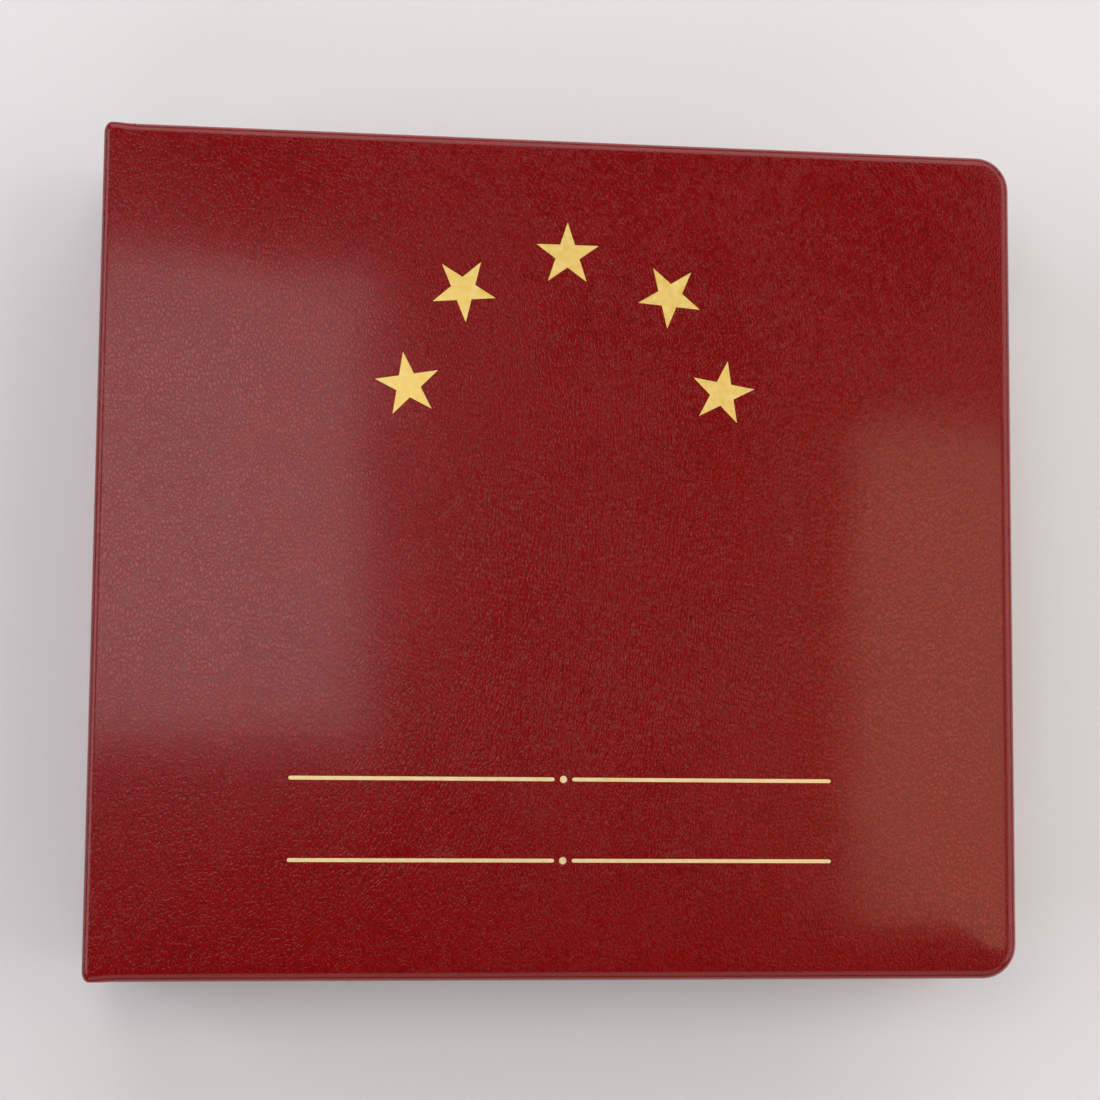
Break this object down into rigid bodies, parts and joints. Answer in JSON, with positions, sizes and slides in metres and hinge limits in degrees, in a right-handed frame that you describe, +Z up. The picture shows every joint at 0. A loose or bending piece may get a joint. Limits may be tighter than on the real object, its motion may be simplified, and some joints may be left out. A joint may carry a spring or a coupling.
{
  "type": "stamp album",
  "caption": "Padded leatherette ring album for stamps, closed, with foil stars on an arc and dotted foil rules on the cover, a ring mechanism on the spine and pocket pages.",
  "frame": {"origin": "centre of the underside of the closed album's bounding box, on the surface that it rests on", "axes": "+X from the spine to the fore-edge, +Y from the tail to the head, +Z up through the front cover"},
  "size_m": [0.268, 0.244, 0.056],
  "materials": {
    "leatherette": "padded vinyl leatherette, fine grain",
    "padding": "soft foam sheet",
    "board": "grey-brown binder board",
    "lining": "smooth embossed lining",
    "foil": "hot-stamped gold foil",
    "ring_metal": "nickel-plated steel",
    "blade_metal": "plain sheet steel",
    "sleeve_film": "clear vinyl film",
    "card": "cream mounting card",
    "stamp": "printed stamp paper"
  },
  "bodies": {
    "back_cover": {"back_leatherette": "leatherette", "back_padding": "padding", "back_board": "board", "back_liner": "lining", "back_hinge_fold": "leatherette", "back_hinge_liner": "lining"},
    "spine": {"spine_leatherette": "leatherette", "spine_padding": "padding", "spine_board": "board", "spine_liner": "lining", "ring_plate": "ring_metal", "spine_rivets": "ring_metal", "lever_pins": "blade_metal"},
    "front_cover": {"front_leatherette": "leatherette", "front_padding": "padding", "front_board": "board", "front_liner": "lining", "front_hinge_fold": "leatherette", "front_hinge_liner": "lining", "foil_stars": "foil", "foil_rules": "foil"},
    "upper_rings": {"upper_ring_blade": "blade_metal", "upper_ring_halves": "ring_metal"},
    "lower_rings": {"lower_ring_blade": "blade_metal", "lower_ring_halves": "ring_metal"},
    "head_lever": {"head_lever": "ring_metal"},
    "tail_lever": {"tail_lever": "ring_metal"},
    "page_1": {"page_1_sleeve": "sleeve_film", "page_1_cards": "card", "page_1_stamps": "stamp"},
    "page_2": {"page_2_sleeve": "sleeve_film", "page_2_cards": "card", "page_2_stamps": "stamp"},
    "page_3": {"page_3_sleeve": "sleeve_film", "page_3_cards": "card", "page_3_stamps": "stamp"},
    "page_4": {"page_4_sleeve": "sleeve_film", "page_4_cards": "card", "page_4_stamps": "stamp"},
    "page_5": {"page_5_sleeve": "sleeve_film", "page_5_cards": "card", "page_5_stamps": "stamp"},
    "page_6": {"page_6_sleeve": "sleeve_film", "page_6_cards": "card", "page_6_stamps": "stamp"},
    "page_7": {"page_7_sleeve": "sleeve_film", "page_7_cards": "card", "page_7_stamps": "stamp"},
    "page_8": {"page_8_sleeve": "sleeve_film", "page_8_cards": "card", "page_8_stamps": "stamp"}
  },
  "joints": [
    {"name": "spine_hinge", "type": "hinge", "parent": "back_cover", "child": "spine", "pos_m": [-0.1315, 0, 0.0025], "axis": [0, -1, 0], "range_deg": [0, 90], "deforming": ["back_hinge_fold", "back_hinge_liner"]},
    {"name": "front_hinge", "type": "hinge", "parent": "spine", "child": "front_cover", "pos_m": [-0.1315, 0, 0.0535], "axis": [0, -1, 0], "range_deg": [0, 90], "deforming": ["front_hinge_fold", "front_hinge_liner"]},
    {"name": "ring_open", "type": "hinge", "parent": "spine", "child": "upper_rings", "pos_m": [-0.1244, 0, 0.0379], "axis": [0, -1, 0], "range_deg": [0, 5]},
    {"name": "lower_ring_open", "type": "hinge", "parent": "spine", "child": "lower_rings", "pos_m": [-0.1244, 0, 0.0181], "axis": [0, -1, 0], "range_deg": [-5, 0]},
    {"name": "head_lever_turn", "type": "hinge", "parent": "spine", "child": "head_lever", "pos_m": [-0.1244, 0.089, 0.028], "axis": [0, 0, 1], "range_deg": [0, 14]},
    {"name": "tail_lever_turn", "type": "hinge", "parent": "spine", "child": "tail_lever", "pos_m": [-0.1244, -0.089, 0.028], "axis": [0, 0, 1], "range_deg": [-14, 0]},
    {"name": "page_1_turn", "type": "hinge", "parent": "spine", "child": "page_1", "pos_m": [-0.1046, 0, 0.028], "axis": [0, -1, 0], "range_deg": [0, 95]},
    {"name": "page_2_turn", "type": "hinge", "parent": "spine", "child": "page_2", "pos_m": [-0.1046, 0, 0.028], "axis": [0, -1, 0], "range_deg": [0, 95]},
    {"name": "page_3_turn", "type": "hinge", "parent": "spine", "child": "page_3", "pos_m": [-0.1046, 0, 0.028], "axis": [0, -1, 0], "range_deg": [0, 95]},
    {"name": "page_4_turn", "type": "hinge", "parent": "spine", "child": "page_4", "pos_m": [-0.1046, 0, 0.028], "axis": [0, -1, 0], "range_deg": [0, 95]},
    {"name": "page_5_turn", "type": "hinge", "parent": "spine", "child": "page_5", "pos_m": [-0.1046, 0, 0.028], "axis": [0, -1, 0], "range_deg": [-91, 0]},
    {"name": "page_6_turn", "type": "hinge", "parent": "spine", "child": "page_6", "pos_m": [-0.1046, 0, 0.028], "axis": [0, -1, 0], "range_deg": [-91, 0]},
    {"name": "page_7_turn", "type": "hinge", "parent": "spine", "child": "page_7", "pos_m": [-0.1046, 0, 0.028], "axis": [0, -1, 0], "range_deg": [-91, 0]},
    {"name": "page_8_turn", "type": "hinge", "parent": "spine", "child": "page_8", "pos_m": [-0.1046, 0, 0.028], "axis": [0, -1, 0], "range_deg": [-91, 0]}
  ],
  "couplings": [
    {"joint": "lower_ring_open", "follows": "ring_open", "ratio": -1},
    {"joint": "head_lever_turn", "follows": "ring_open", "ratio": 2.8},
    {"joint": "tail_lever_turn", "follows": "ring_open", "ratio": -2.8},
    {"joint": "page_1_turn", "follows": "front_hinge", "ratio": 1.04},
    {"joint": "page_2_turn", "follows": "front_hinge", "ratio": 1.035},
    {"joint": "page_3_turn", "follows": "front_hinge", "ratio": 1.03},
    {"joint": "page_4_turn", "follows": "front_hinge", "ratio": 1.025},
    {"joint": "page_5_turn", "follows": "spine_hinge", "ratio": -0.985},
    {"joint": "page_6_turn", "follows": "spine_hinge", "ratio": -0.99},
    {"joint": "page_7_turn", "follows": "spine_hinge", "ratio": -0.995},
    {"joint": "page_8_turn", "follows": "spine_hinge", "ratio": -1}
  ]
}
